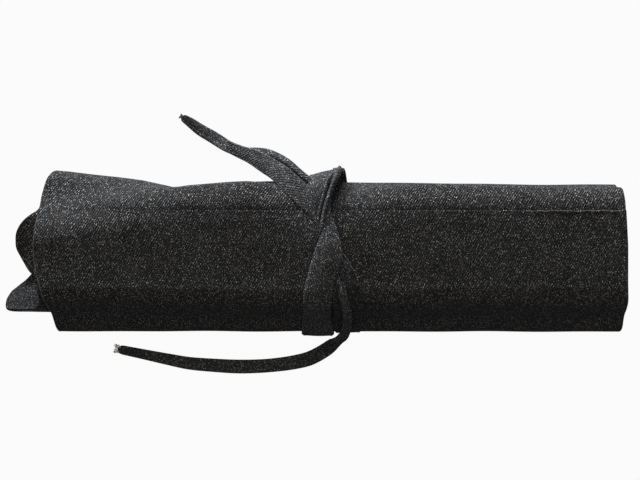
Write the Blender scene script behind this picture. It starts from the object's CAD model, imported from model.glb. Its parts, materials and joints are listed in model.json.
"""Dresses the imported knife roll: rolled denim, sewn knife slots, the tied strap and its two tails."""

import json
import math

import bpy
import numpy as np
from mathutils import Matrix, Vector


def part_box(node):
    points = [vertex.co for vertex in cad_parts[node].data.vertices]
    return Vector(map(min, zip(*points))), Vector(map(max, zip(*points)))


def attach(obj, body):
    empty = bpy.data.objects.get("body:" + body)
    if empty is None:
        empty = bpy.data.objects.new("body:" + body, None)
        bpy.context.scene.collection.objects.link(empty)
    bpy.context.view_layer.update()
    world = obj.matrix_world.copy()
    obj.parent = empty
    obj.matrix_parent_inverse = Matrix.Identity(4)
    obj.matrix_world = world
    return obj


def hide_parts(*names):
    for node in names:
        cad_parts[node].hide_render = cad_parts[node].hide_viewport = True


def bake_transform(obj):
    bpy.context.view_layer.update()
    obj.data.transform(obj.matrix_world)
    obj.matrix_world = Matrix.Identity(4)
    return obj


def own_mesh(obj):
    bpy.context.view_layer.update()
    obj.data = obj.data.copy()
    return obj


bl_info = {
    "name": "Denim knife roll",
    "version": (1, 0, 0),
    "blender": (4, 5, 0),
    "location": "3D View > Sidebar > Knife roll",
    "description": "Rolled denim with sewn knife slots, tied round the middle with a folded strap",
    "category": "Object",
}

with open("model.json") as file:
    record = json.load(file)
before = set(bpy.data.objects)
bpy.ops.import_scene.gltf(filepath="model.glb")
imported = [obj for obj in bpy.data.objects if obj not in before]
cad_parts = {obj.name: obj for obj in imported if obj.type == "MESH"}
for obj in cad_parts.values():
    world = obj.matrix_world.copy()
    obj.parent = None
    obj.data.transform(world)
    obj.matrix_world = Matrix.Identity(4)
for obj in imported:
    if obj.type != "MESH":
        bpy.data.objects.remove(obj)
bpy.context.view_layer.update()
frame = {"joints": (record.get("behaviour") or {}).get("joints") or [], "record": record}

# Panels of the cloth from its inner edge to the flap, and the folds between them
PANEL_BODIES = [
    "inner_edge", "inner_back_lower", "inner_base", "inner_front_lower", "inner_front_upper", "inner_top",
    "back_upper", "back_lower", "base", "front_lower", "front_upper", "flap",
]
FOLD_JOINTS = [
    "fold_inner_back", "fold_inner_base_back", "fold_inner_base_front", "fold_inner_front",
    "fold_inner_top_front", "fold_inner_top_back", "fold_back", "unroll", "fold_base_front", "fold_front",
    "fold_top_front",
]
INNER_TOP, BASE, FRONT_LOWER, FRONT_UPPER, FLAP = (
    PANEL_BODIES.index(body) for body in ("inner_top", "base", "front_lower", "front_upper", "flap")
)
INNER_FRONT_FOLD, INNER_TOP_FOLD, BACK_FOLD, FRONT_FOLD, TOP_FOLD = (
    FOLD_JOINTS.index("fold_" + place)
    for place in ("inner_front", "inner_top_back", "back", "front", "top_front")
)

# How far each end of the cloth stands out past the flap's end, at places counted in panels from the base
LEFT_REACH = [
    (-8, 0.004), (-6, 0.004), (-5.6, 0.008), (-5.3, 0.014), (-5.18, 0.0185), (-5.05, 0.026),
    (-4.79, 0.0318), (-4.5, 0.0345), (-4.2, 0.0338), (-4.08, 0.030), (-4, 0.025), (-3.9, 0.009),
    (-3.6, 0.003), (-3, 0.001), (-2.86, 0.0015), (-2.785, 0.007), (-2.478, 0.0172), (-2.3, 0.0170),
    (-2.2, 0.0146), (-2.12, 0.0112), (-1.99, 0.0024), (-1.88, 0), (-1.6, 0), (-1.3, -0.0026),
    (-1, -0.008), (-0.6, -0.004), (0, 0), (2, -0.011), (2.6, -0.0075), (3.3, 0.0008), (3.55, 0.0016),
    (4, 0),
]
RIGHT_REACH = [
    (-8, 0), (-2.3, 0), (-2, -0.0014), (-1.5, -0.001), (-0.9, 0.001), (1, 0.001), (1.8, 0.003),
    (2.2, 0.003), (3.1, 0), (3.6, 0), (4, -0.0014),
]

# How far the back of the roll stands out along its length: a flare at the left end and a pinch beside it
BACK_FLARE = [
    (-0.212, 0.0108), (-0.203, 0.0103), (-0.192, 0.0096), (-0.173, 0.0074), (-0.154, 0.0052),
    (-0.135, 0.0026), (-0.116, -0.0014), (-0.106, -0.0038), (-0.103, -0.0042), (-0.097, -0.0030),
    (-0.084, -0.0012), (-0.072, 0.0006), (-0.061, 0.0015), (-0.034, 0.0024), (-0.010, 0.0018),
    (0.026, 0.0013), (0.085, 0.0008), (0.148, -0.0003), (0.240, -0.0006),
]

# Along the roll: length of flap that slopes down to its free edge, how closely the edge lies on the layer
# below, how far that layer's corner rises, how far its back is rounded, and the thickness of the edge
FLAP_DRAPE = [
    (-0.232, 0.030, 1.0, 0.0045, 0, 0.0004), (-0.211, 0.027, 1.0, -0.0008, 0, 0.0004),
    (-0.190, 0.023, 1.0, 0.0024, 0, 0.0004), (-0.155, 0.018, 1.0, 0.0072, 0.002, 0.0004),
    (-0.125, 0.016, 1.0, 0.0088, 0.006, 0.0003), (-0.095, 0.016, 1.0, 0.0088, 0.0098, 0.0003),
    (-0.050, 0.016, 1.0, 0.0094, 0.0118, 0.0003), (-0.020, 0.018, 1.0, 0.0082, 0.0085, 0.0004),
    (0.015, 0.028, 1.0, 0.0030, 0, 0.0006), (0.048, 0.020, 1.0, 0.0088, 0.0072, 0.0005),
    (0.080, 0.016, 1.0, 0.0090, 0.0098, 0.0005), (0.140, 0.016, 0.98, 0.0084, 0.0094, 0.0007),
    (0.175, 0.015, 0.96, 0.0080, 0.0082, 0.0012), (0.240, 0.014, 0.94, 0.0080, 0.0072, 0.0015),
]
# Small forms of the cloth: how far they rise or sink, and how far they reach to each side
CROWN_REACH = 0.028
STRAP_SINK = 0.0018
STRAP_LEFT, STRAP_RIGHT, STRAP_SIDE_RAMP = -0.014, 0.046, 0.006
STRAP_HALF_UNDER, STRAP_END_RAMP = 0.052, 0.014
RIPPLE = 0.0003
HEM = 0.0155
HEM_SINK, HEM_SINK_IN_SIGHT, HEM_REACH = 0.00025, 0.0005, 0.0014
CREASE_SINK, CREASE_REACH = 0.0005, 0.005
FRONT_RISE, FRONT_REACH = 0.0008, 0.030
FLAP_START_RISE, FLAP_START_REACH = (0.0008, 0.0017), 0.022
FLARE_REACH, CORNER_REACH, BACK_REACH = 0.040, 0.036, 0.022
# Where small forms lie past their fold, and where they set in along the roll and over what length
CREASE_PLACE, FLAP_START_PLACE, BACK_PLACE = 0.002, -0.011, 0.012
CREASE_FROM, CREASE_RAMP = 0.08, 0.04
FLAP_RISE_FROM, FLAP_RISE_RAMP = -0.16, 0.12
SIGHT_FROM, SIGHT_RAMP = 0.004, 0.010
LINING_PLAY = 0.0008
# The flap: where it may leave its panel, how far its edge is thinned, and how softly it meets the layer below
FLAP_FREE_FROM, FLAP_THIN_REACH, FLAP_SOFTNESS = 0.010, 0.022, 0.0006
# Knife slots: air behind them, thickness, distance from the cloth's inner edge and from the front fold, and
# the hem at their mouth
SLOT_GAP = 0.0003
SLOT_THICKNESS = 0.001
SLOT_INNER_INSET = 0.0015
SLOT_OUTER_INSET = 0.0035
SLOT_MOUTH_HEM = 0.008
SLOT_COLUMNS = 110
# Stitch lines: distance from the cloth's edges and from the joins of its strips, and step along the line
STITCH_EDGE_INSET = 0.0012
STITCH_JOIN_INSET = 0.0008
STITCH_LINE_STEP = 0.0015
# Seams between the slots: distance from the slots' ends, and points along a seam
SEAM_INSETS, SEAM_POINTS = (0.004, 0.003), 160
MOUTH_END_INSET = 0.006
# The flap's frayed stretch, along its edge, and its worn stretch, along the left end
FRAY_START, FRAY_RIGHT_INSET, FRAY_POINTS = 0.168, 0.009, 100
FRAY_EDGE_INSET, FRAY_LIFT = 0.0006, 0.0002
WORN_BEFORE_FOLD, WORN_EDGE_INSET, WORN_POINTS = 0.016, 0.004, 60
WORN_END_INSET, WORN_DEPTH = 0.0005, 0.0001
# Grids over the cloth: points along the roll and across it, and how far they go past the flap's ends
REACH_POINTS = 600
UNDER_GRID, UNDER_LEFT_MARGIN, UNDER_SPAN_Y = (160, 140), 0.03, (-0.03, 0.062)
WEAVE_GRID, WEAVE_MARGINS = (140, 500), (0.04, 0.005)
SECTION_POINTS = 200
# How far past the rounding of a fold the strips bend
# Edges of a mesh are sharp past this angle
SHARP_ANGLE = 0.9


def smooth(t):
    """Smooth step from 0 to 1."""
    t = np.clip(t, 0.0, 1.0)
    return t * t * (3.0 - 2.0 * t)


def window(distance, half_width):
    """Bump of height 1 that falls to 0 at half_width."""
    t = np.clip(np.abs(distance) / half_width, 0.0, 1.0)
    return np.cos(0.5 * math.pi * t) ** 2


def table(rows, column, at):
    """Column of a table of rows, read at places in its first column."""
    rows = np.array(rows)
    return np.interp(at, rows[:, 0], rows[:, column])


def on_grid(xs, ys, grid, x, y):
    """Value between the points of an even grid."""
    i = np.interp(x, xs, np.arange(len(xs)))
    j = np.interp(y, ys, np.arange(len(ys)))
    i0 = np.minimum(i.astype(int), len(xs) - 2)
    j0 = np.minimum(j.astype(int), len(ys) - 2)
    a, b = i - i0, j - j0
    low = grid[i0, j0] * (1 - b) + grid[i0, j0 + 1] * b
    high = grid[i0 + 1, j0] * (1 - b) + grid[i0 + 1, j0 + 1] * b
    return low * (1 - a) + high * a


class RolledCloth:
    """The rolled sheet. A place on it is x along the roll, s across the flat cloth from its inner edge,
    and a depth in from the outer face."""

    def __init__(self, cloth):
        self.thickness = cloth.thickness
        self.gap = cloth.layer_gap
        joints = {joint["name"]: joint for joint in frame["joints"]}
        self.hinges = np.array([joints[name]["pos_m"][1:] for name in FOLD_JOINTS])
        self.turns = np.radians([joints[name]["range_deg"][1] for name in FOLD_JOINTS])
        self.radii = np.full(len(FOLD_JOINTS), cloth.outer_radius)
        self.radii[:INNER_TOP_FOLD] = cloth.inner_radius
        self.radii[TOP_FOLD] = cloth.top_radius
        self.radii[INNER_TOP_FOLD] = cloth.lap_radius
        steps = np.diff(self.hinges, axis=0)
        heading = np.unwrap(np.arctan2(steps[:, 1], steps[:, 0]))
        self.headings = np.concatenate(
            [[heading[0] + self.turns[0]], heading, [heading[-1] - self.turns[-1]]]
        )
        _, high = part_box("shell_panel_12")
        inner_width = (high[2] - self.hinges[0, 1]) / abs(math.sin(self.headings[0]))
        low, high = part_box("shell_panel_01")
        flap_width = high[1] - self.hinges[-1, 0]
        self.left, self.right, self.edge_y = low[0], high[0], high[1]
        widths = np.concatenate([[inner_width], np.linalg.norm(steps, axis=1), [flap_width]])
        self.starts = np.concatenate([[0.0], np.cumsum(widths)])
        self.widths = widths
        self.length = self.starts[-1]
        self.folds = self.starts[1:-1]
        self.reach_at = np.linspace(0.0, self.length, REACH_POINTS)
        self.left_reach, self.right_reach = (self.smooth_reach(rows) for rows in (LEFT_REACH, RIGHT_REACH))
        self.under_x = np.linspace(self.left - UNDER_LEFT_MARGIN, self.right, UNDER_GRID[0])
        self.under_y = np.linspace(*UNDER_SPAN_Y, UNDER_GRID[1])
        self.under_z = self.lay_under_flap()
        weave_ends = self.left - WEAVE_MARGINS[0], self.right + WEAVE_MARGINS[1]
        self.weave_x = np.linspace(*weave_ends, WEAVE_GRID[0])
        self.weave_s = np.linspace(self.starts[INNER_TOP], self.starts[BASE], WEAVE_GRID[1])
        self.weave_v = self.lay_weave()

    def place(self, panels):
        """Distance s of a place counted in panels from the base."""
        index = np.clip(np.floor(np.asarray(panels, float)) + BASE, 0, FLAP).astype(int)
        return self.starts[index] + (np.asarray(panels, float) + BASE - index) * self.widths[index]

    def smooth_reach(self, rows):
        rows = np.array(rows)
        reach = np.interp(self.reach_at, self.place(rows[:, 0]), rows[:, 1])
        kernel = np.hanning(13)
        padded = np.pad(reach, 6, mode="edge")
        return np.convolve(padded, kernel / kernel.sum(), mode="valid")

    def ends(self, s):
        return (
            self.left - np.interp(s, self.reach_at, self.left_reach),
            self.right + np.interp(s, self.reach_at, self.right_reach),
        )

    def section(self, s):
        """Outer face of the rolled section at s, with its rounded folds, and its inward normal."""
        s = np.asarray(s, float)
        panel = np.clip(np.searchsorted(self.starts, s, side="right") - 1, 0, FLAP)
        heading = self.headings[panel]
        anchor = self.hinges[np.maximum(panel - 1, 0)]
        offset = s - np.where(panel == 0, self.folds[0], self.starts[panel])
        y = anchor[..., 0] + np.cos(heading) * offset
        z = anchor[..., 1] + np.sin(heading) * offset
        for fold, (hinge, turn, radius) in enumerate(zip(self.hinges, self.turns, self.radii)):
            reach = radius * math.tan(turn / 2)
            t = (s - self.folds[fold]) / (2 * reach) + 0.5
            inside = (t > 0) & (t < 1)
            middle = self.headings[fold] - turn / 2
            centre_y = hinge[0] + math.sin(middle) * radius / math.cos(turn / 2)
            centre_z = hinge[1] - math.cos(middle) * radius / math.cos(turn / 2)
            arc = self.headings[fold] - t * turn
            heading = np.where(inside, arc, heading)
            y = np.where(inside, centre_y - radius * np.sin(arc), y)
            z = np.where(inside, centre_z + radius * np.cos(arc), z)
        return y, z, np.sin(heading), -np.cos(heading)

    def swell(self, x, s):
        """How far the outer face and the lining stand out from the plain section."""
        out = np.zeros(np.broadcast(x, s).shape)
        for fold in (INNER_FRONT_FOLD, BACK_FOLD, FRONT_FOLD):
            crown = self.radii[fold] * (1 / math.cos(self.turns[fold] / 2) - 1)
            out = out + crown * window(s - self.folds[fold], CROWN_REACH)
        out = out - STRAP_SINK * self.strap_groove(x, s)
        ripple = np.sin(31 * x + 55 * s) * np.sin(23 * x - 38 * s + 1.1) + 0.5 * np.sin(87 * x + 64 * s)
        out = out - RIPPLE * (1.5 + ripple)
        left, right = self.ends(s)
        in_sight = smooth((s - self.starts[FRONT_UPPER] - SIGHT_FROM) / SIGHT_RAMP)
        for from_end in (x - left, right - x):
            out = out - (HEM_SINK + HEM_SINK_IN_SIGHT * in_sight) * window(from_end - HEM, HEM_REACH)
        past_top, past_lap = s - self.folds[TOP_FOLD], s - self.folds[INNER_TOP_FOLD]
        crease = window(past_top - CREASE_PLACE, CREASE_REACH) * smooth((x - CREASE_FROM) / CREASE_RAMP)
        out = out - CREASE_SINK * crease + FRONT_RISE * window(s - self.folds[FRONT_FOLD], FRONT_REACH)
        rise = FLAP_START_RISE[0] + FLAP_START_RISE[1] * smooth((x - FLAP_RISE_FROM) / FLAP_RISE_RAMP)
        out = out + rise * window(past_top - FLAP_START_PLACE, FLAP_START_REACH)
        out = out + table(BACK_FLARE, 1, x) * window(s - self.folds[BACK_FOLD], FLARE_REACH)
        out = out + table(FLAP_DRAPE, 3, x) * window(past_lap, CORNER_REACH)
        out = out + table(FLAP_DRAPE, 4, x) * window(past_lap - BACK_PLACE, BACK_REACH)
        return out, np.minimum(out, self.fold_depth(s) + self.thickness - LINING_PLAY)

    def fold_depth(self, s):
        """How far the rounding of the folds takes the section in from its flat panels."""
        depth = np.zeros(np.shape(s))
        for fold, turn, radius in zip(self.folds, self.turns, self.radii):
            reach = radius * math.tan(turn / 2)
            along = np.clip(1 - np.abs(s - fold) / reach, 0, None)
            depth = depth + radius * (1 - np.cos(along * turn / 2))
        return depth

    def gape(self, x, s):
        """Width of the hollow between the outer layer and the lining, which stays flat."""
        outer, lining = self.swell(x, s)
        return outer - lining

    def strap_groove(self, x, s):
        """Where the cloth sinks in under the strap, below the roll."""
        across = smooth((x - STRAP_LEFT) / STRAP_SIDE_RAMP) * smooth((STRAP_RIGHT - x) / STRAP_SIDE_RAMP)
        middle = 0.5 * (self.starts[BASE] + self.starts[FRONT_LOWER])
        return across * smooth((STRAP_HALF_UNDER - np.abs(s - middle)) / STRAP_END_RAMP)

    def lay_under_flap(self):
        """Height of the layer under the flap, on a grid of x and y."""
        s = np.linspace(self.starts[INNER_TOP], self.folds[BACK_FOLD], SECTION_POINTS)
        y, z, inward_y, inward_z = self.section(s)
        heights = []
        for x in self.under_x:
            out, _ = self.swell(np.full_like(s, x), s)
            along = np.maximum.accumulate(y - inward_y * out)
            heights.append(np.interp(self.under_y, along, z - inward_z * out))
        return np.array(heights)

    def under_flap(self, x, y):
        return on_grid(self.under_x, self.under_y, self.under_z, x, y)

    def lay_weave(self):
        """Length across the cloth over its rounded back, on a grid of x and s."""
        y, z, inward_y, inward_z = self.section(self.weave_s)
        rows = []
        for x in self.weave_x:
            out, _ = self.swell(np.full_like(self.weave_s, x), self.weave_s)
            steps = np.hypot(np.diff(y - inward_y * out), np.diff(z - inward_z * out))
            length = np.concatenate([[0.0], np.cumsum(steps)])
            rows.append(self.weave_s[-1] - length[-1] + length)
        return np.array(rows)

    def weave(self, x, s):
        """Where the weave lies across the cloth, so that its rounded back doesn't stretch it."""
        held = np.clip(s, self.weave_s[0], self.weave_s[-1])
        return s - held + on_grid(self.weave_x, self.weave_s, self.weave_v, x, held)

    def point(self, x, s, depth):
        """Points of the cloth. Past its thickness, depth goes on in from the lining."""
        x, s, depth = np.broadcast_arrays(*(np.asarray(values, float) for values in (x, s, depth)))
        y, z, inward_y, inward_z = self.section(s)
        outer, lining = self.swell(x, s)
        share = np.clip(depth / self.thickness, None, 1.0)
        beyond = np.maximum(depth - self.thickness, 0.0)
        hollow = (outer - lining) * smooth((share - 0.44) / 0.12)
        down = np.where(share < 0, depth - outer, self.thickness * share - outer + hollow + beyond)
        y = y + inward_y * down
        z = z + inward_z * down
        to_edge = self.length - s
        bend = np.clip(1 - to_edge / table(FLAP_DRAPE, 1, x), 0, 1)
        lie = table(FLAP_DRAPE, 2, x) * bend**2
        thinning = smooth((FLAP_THIN_REACH - to_edge) / FLAP_THIN_REACH)
        thin = self.thickness + (table(FLAP_DRAPE, 5, x) - self.thickness) * thinning
        lift = self.gap * (1 - 0.7 * bend) + thin * (1 - np.maximum(share, 0)) - np.minimum(depth, 0)
        slope = z + (self.under_flap(x, np.full_like(y, self.edge_y)) + lift - z) * lie
        rest = np.minimum(self.under_flap(x, y) + lift, z)
        slope = 0.5 * (slope + rest + np.sqrt((slope - rest) ** 2 + FLAP_SOFTNESS**2))
        on_flap = s > self.starts[FLAP] + FLAP_FREE_FROM
        z = np.where(on_flap, z + (slope - z) * smooth(3 * bend), z)
        return np.stack([x, y, z], axis=-1)


def new_mesh_object(name, points, faces, uvs=None):
    """Object with smooth faces, sharp past an angle, with its UV map in metres."""
    mesh = bpy.data.meshes.new(name)
    mesh.from_pydata([tuple(p) for p in points], [], faces)
    mesh.update()
    mesh.polygons.foreach_set("use_smooth", np.ones(len(mesh.polygons), bool))
    if uvs is not None:
        layer = mesh.uv_layers.new(name="cloth")
        corner = np.zeros(len(mesh.loops), np.int32)
        mesh.loops.foreach_get("vertex_index", corner)
        layer.data.foreach_set("uv", np.asarray(uvs, np.float32)[corner].ravel())
    mesh.set_sharp_from_angle(angle=SHARP_ANGLE)
    obj = bpy.data.objects.new(name, mesh)
    bpy.context.scene.collection.objects.link(obj)
    return obj


def mark_inside(piece, shares):
    """Marks the points of a piece that show the darker inside of the cloth."""
    marks = piece.data.attributes.new("inside", "FLOAT", "POINT")
    marks.data.foreach_set("value", np.asarray(shares, np.float32))


def ring_faces(rows, count):
    """Quads between closed rings of count points."""
    a = np.arange(rows - 1)[:, None] * count + np.arange(count)[None, :]
    b = np.arange(rows - 1)[:, None] * count + (np.arange(count) + 1)[None, :] % count
    return np.stack([a, b, b + count, a + count], axis=-1).reshape(-1, 4).tolist()


def outward(obj):
    """Turns the faces of a closed mesh outwards."""
    mesh = obj.data
    points = np.zeros(3 * len(mesh.vertices))
    mesh.vertices.foreach_get("co", points)
    points = points.reshape(-1, 3)
    mesh.calc_loop_triangles()
    corners = np.zeros(3 * len(mesh.loop_triangles), np.int32)
    mesh.loop_triangles.foreach_get("vertices", corners)
    a, b, c = (points[corners.reshape(-1, 3)[:, i]] for i in range(3))
    if np.einsum("ij,ij->i", a, np.cross(b, c)).sum() < 0:
        mesh.flip_normals()
        mesh.update()
    return obj


# Rims of a strip: inset from the end and share of the thickness. The ends show the two layers of cloth, with
# a groove between them that is deep where they part.
LEFT_RIM = [
    (0.0006, 1.0), (0.0002, 0.95), (0.0, 0.8), (0.0002, 0.64), (0.0009, 0.56), (0.006, 0.5), (0.0009, 0.44),
    (0.0002, 0.36), (0.0, 0.2), (0.0002, 0.05), (0.0006, 0.0),
]
RIGHT_RIM = [
    (0.0009, 0.0), (0.0003, 0.06), (0.0, 0.2), (0.0002, 0.36), (0.0006, 0.44), (0.001, 0.5), (0.0006, 0.56),
    (0.0002, 0.64), (0.0, 0.8), (0.0003, 0.94), (0.0009, 1.0),
]
HOLLOW_DEPTH, HOLLOW_FULL_GAPE = 0.022, 0.006
LAYER_STEP, LAYER_STEP_REACH = 0.0022, 0.040
EDGE_ROUNDING = 0.0011
EDGE_TURNS = np.radians([30, 55, 75])
ROW_STEP = 0.0017
# Columns of a strip: how far they are drawn to its ends, and those that are added at a hem
END_DRAW = 0.35
HEM_COLUMNS = np.linspace(-0.0026, 0.0026, 7)


def layer_step(rolled, s):
    """How far the outer of the two layers is set back at the left end."""
    return LAYER_STEP * window(s - rolled.starts[FLAP], LAYER_STEP_REACH)


def cloth_strip(rolled, name, s_low, s_high, ends, depths, free, columns=150):
    """Closed strip of cloth from s_low to s_high. A free edge is rounded, the others meet the next strip."""
    steps = max(8, int(round((s_high - s_low) / ROW_STEP)))
    rows = np.linspace(s_low + free[0] * EDGE_ROUNDING, s_high - free[1] * EDGE_ROUNDING, steps + 1)
    squeeze = np.ones(len(rows))
    if free[0]:
        rows = np.concatenate([s_low + EDGE_ROUNDING * (1 - np.sin(EDGE_TURNS[::-1])), rows])
        squeeze = np.concatenate([np.cos(EDGE_TURNS[::-1]), squeeze])
    if free[1]:
        rows = np.concatenate([rows, s_high - EDGE_ROUNDING * (1 - np.sin(EDGE_TURNS))])
        squeeze = np.concatenate([squeeze, np.cos(EDGE_TURNS)])
    left, right = ends(rows)
    even = np.linspace(0, 1, columns)
    share = even - END_DRAW * np.sin(2 * math.pi * even) / (2 * math.pi)
    at_hem = HEM / (rolled.right - rolled.left) + HEM_COLUMNS
    share = np.sort(np.concatenate([share, at_hem, 1 - at_hem]))
    columns = len(share)
    step = layer_step(rolled, rows)
    left_faces = left + step + LEFT_RIM[-1][0], left + LEFT_RIM[0][0]
    face_right = right - RIGHT_RIM[0][0]
    outer, inner = ((end + (face_right - end) * share[:, None]).T for end in left_faces)
    left_inset, left_layer = np.array(LEFT_RIM[1:-1]).T
    right_inset, right_layer = np.array(RIGHT_RIM[1:-1]).T
    left_rim = left[:, None] + left_inset + step[:, None] * (left_layer < 0.5)
    right_rim = right[:, None] - right_inset
    shell = depths[0] == 0
    if shell:
        gapes = [rolled.gape(end, rows)[:, None] for end in (left, right)]
        left_hollow, right_hollow = (HOLLOW_DEPTH * smooth(gape / HOLLOW_FULL_GAPE) for gape in gapes)
        left_rim = left_rim + left_hollow * (left_layer == 0.5)
        right_rim = right_rim - right_hollow * (right_layer == 0.5)
    x = np.concatenate([outer, right_rim, inner[:, ::-1], left_rim], axis=1)
    layers = np.concatenate([np.zeros(columns), right_layer, np.ones(columns), left_layer])
    layers = 0.5 + (layers - 0.5) * squeeze[:, None]
    depth = depths[0] + (depths[1] - depths[0]) * layers
    s = np.broadcast_to(rows[:, None], x.shape)
    points = rolled.point(x, s, depth).reshape(-1, 3)
    count = x.shape[1]
    faces = ring_faces(len(rows), count)
    rim = len(right_layer)
    for base in (0, (len(rows) - 1) * count):
        caps = []
        for i in range(columns - 1):
            low = base + 2 * columns + rim - 1 - i
            caps.append([base + i, base + i + 1, low - 1, low])
        caps.append(list(range(base + columns - 1, base + columns + rim + 1)))
        caps.append(list(range(base + 2 * columns + rim - 1, base + count)) + [base])
        faces += [cap[::-1] if base == 0 else cap for cap in caps]
    across = s + (rolled.weave(x, s) - s) * (1 - smooth(layers)) if shell else s
    piece = new_mesh_object(name, points, faces, np.stack([x, across], axis=-1).reshape(-1, 2))
    if shell:
        mark_inside(piece, smooth(4 * layers - 2).ravel())
    return outward(piece)


# First input, second input and output of a Mix node, by what it mixes
MIX_SOCKETS = {"VECTOR": (4, 5, 1), "RGBA": (6, 7, 2)}


def feed(tree, socket, source):
    """Links an output to an input, or sets a constant on it."""
    if isinstance(source, bpy.types.NodeSocket):
        tree.links.new(source, socket)
    else:
        socket.default_value = source


def add_node(tree, kind, *sources, **values):
    """Adds a node. Values are its own settings, or inputs by name, and sources are its first inputs."""
    node = tree.nodes.new(kind)
    for key, value in values.items():
        if key in node.inputs:
            feed(tree, node.inputs[key], value)
        else:
            setattr(node, key, value)
    for socket, source in zip(node.inputs, sources):
        feed(tree, socket, source)
    return node


def calculate(tree, operation, *sources, clamp=False):
    return add_node(tree, "ShaderNodeMath", *sources, operation=operation, use_clamp=clamp).outputs[0]


def blend_values(tree, kind, share, first, second):
    a, b, out = MIX_SOCKETS[kind]
    node = add_node(tree, "ShaderNodeMix", share, data_type=kind)
    feed(tree, node.inputs[a], first)
    feed(tree, node.inputs[b], second)
    return node.outputs[out]


THREAD_SOCKETS = {
    "Geometry": "Geometry", "Pitch": "Float", "Length": "Float", "Radius": "Float", "Wobble": "Float",
    "Follow": "Float", "Direction": "Vector", "Seed": "Int", "Thread": "Material",
}


def thread_tree():
    """Node tree that lays short threads along a mesh's lines: stitches in a row, or loose frayed ends."""
    if "threads" in bpy.data.node_groups:
        return bpy.data.node_groups["threads"]
    tree = bpy.data.node_groups.new("threads", "GeometryNodeTree")
    for name, kind in THREAD_SOCKETS.items():
        tree.interface.new_socket(name, in_out="INPUT", socket_type="NodeSocket" + kind)
    tree.interface.new_socket("Geometry", in_out="OUTPUT", socket_type="NodeSocketGeometry")
    given = tree.nodes.new("NodeGroupInput").outputs
    line = add_node(tree, "GeometryNodeMeshToCurve", Mesh=given["Geometry"])
    even = add_node(
        tree, "GeometryNodeResampleCurve", mode="LENGTH", Curve=line.outputs["Curve"], Length=given["Pitch"]
    )
    tangent = tree.nodes.new("GeometryNodeInputTangent")
    along = blend_values(tree, "VECTOR", given["Follow"], given["Direction"], tangent.outputs["Tangent"])
    aim = add_node(tree, "FunctionNodeAlignRotationToVector", axis="Z", Vector=along)
    chance = add_node(
        tree, "FunctionNodeRandomValue", (-1, -1, 0.5), (1, 1, 1), data_type="FLOAT_VECTOR",
        Seed=given["Seed"],
    )
    parts = add_node(tree, "ShaderNodeSeparateXYZ", chance.outputs[0]).outputs
    leans = [calculate(tree, "MULTIPLY", parts[axis], given["Wobble"]) for axis in "XY"]
    lean = add_node(tree, "ShaderNodeCombineXYZ", *leans)
    tilt = add_node(tree, "FunctionNodeEulerToRotation", lean.outputs[0])
    turned = add_node(
        tree, "FunctionNodeRotateRotation", aim.outputs[0], tilt.outputs[0], rotation_space="LOCAL"
    )
    half_length = calculate(tree, "MULTIPLY", given["Length"], parts["Z"])
    size = add_node(tree, "ShaderNodeCombineXYZ", given["Radius"], given["Radius"], half_length)
    bead = add_node(tree, "GeometryNodeMeshUVSphere", Segments=6, Rings=4, Radius=1.0)
    soft = add_node(tree, "GeometryNodeSetShadeSmooth", bead.outputs["Mesh"])
    laid = add_node(
        tree, "GeometryNodeInstanceOnPoints", Points=even.outputs["Curve"], Instance=soft.outputs[0],
        Rotation=turned.outputs[0], Scale=size.outputs[0],
    )
    real = add_node(tree, "GeometryNodeRealizeInstances", laid.outputs[0])
    dyed = add_node(tree, "GeometryNodeSetMaterial", Geometry=real.outputs[0], Material=given["Thread"])
    add_node(tree, "NodeGroupOutput", dyed.outputs[0])
    return tree


def threads(name, lines, colour, **values):
    """Threads along lines of points, as a plain mesh. Length is half of the longest thread."""
    points = np.concatenate(lines)
    starts = np.cumsum([0] + [len(line) for line in lines])
    edges = [(i, i + 1) for a, b in zip(starts[:-1], starts[1:]) for i in range(a, b - 1)]
    mesh = bpy.data.meshes.new(name)
    mesh.from_pydata([tuple(p) for p in points], edges, [])
    piece = bpy.data.objects.new(name, mesh)
    bpy.context.scene.collection.objects.link(piece)
    modifier = piece.modifiers.new("threads", "NODES")
    modifier.node_group = thread_tree()
    values["Thread"] = thread_material(colour)
    for item in modifier.node_group.interface.items_tree:
        if item.in_out == "INPUT" and item.name in values:
            modifier[item.identifier] = values[item.name]
    bpy.context.view_layer.update()
    evaluated = piece.evaluated_get(bpy.context.evaluated_depsgraph_get())
    plain = bpy.data.meshes.new_from_object(evaluated)
    piece.modifiers.clear()
    piece.data = plain
    return piece


def thread_material(colour):
    """Plain spun thread of a colour of the look, made once."""
    name = "spun_" + colour
    if name in bpy.data.materials:
        return bpy.data.materials[name]
    material = bpy.data.materials.new(name)
    material.use_nodes = True
    shader = material.node_tree.nodes["Principled BSDF"]
    shader.inputs["Base Color"].default_value = getattr(bpy.context.scene.knife_roll_look, colour)
    shader.inputs["Roughness"].default_value = 0.8
    shader.inputs["Specular IOR Level"].default_value = 0.1
    return material


def cross_fold(piece):
    """Lets a strip bend at its fold."""
    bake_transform(piece)


def sewn_threads(rolled, fold, name, lines, colour, **values):
    """Threads that bend with the cloth at a fold."""
    piece = threads(name, lines, colour, **values)
    cross_fold(piece)


def strip_name(fold):
    return FOLD_JOINTS[fold].replace("fold_", "")


def strips(rolled, folds, first_edge, last_edge):
    """Fold, name, low and high edge of each strip, from the middle of one panel to that of the next."""
    middles = 0.5 * (rolled.starts[:-1] + rolled.starts[1:])
    for fold in range(folds):
        low = first_edge if fold == 0 else middles[fold]
        high = last_edge if fold == folds - 1 else middles[fold + 1]
        yield fold, strip_name(fold), low, high


def strip_nodes(fold, kind):
    """Nodes of the frame that a strip stands for. The first strip also has the panel at the inner edge."""
    bodies = PANEL_BODIES[1::-1] if fold == 0 else [PANEL_BODIES[fold + 1]]
    members = frame["record"]["behaviour"]["bodies"]
    return [node for body in bodies for node in members[body] if node.startswith(kind)]


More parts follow.
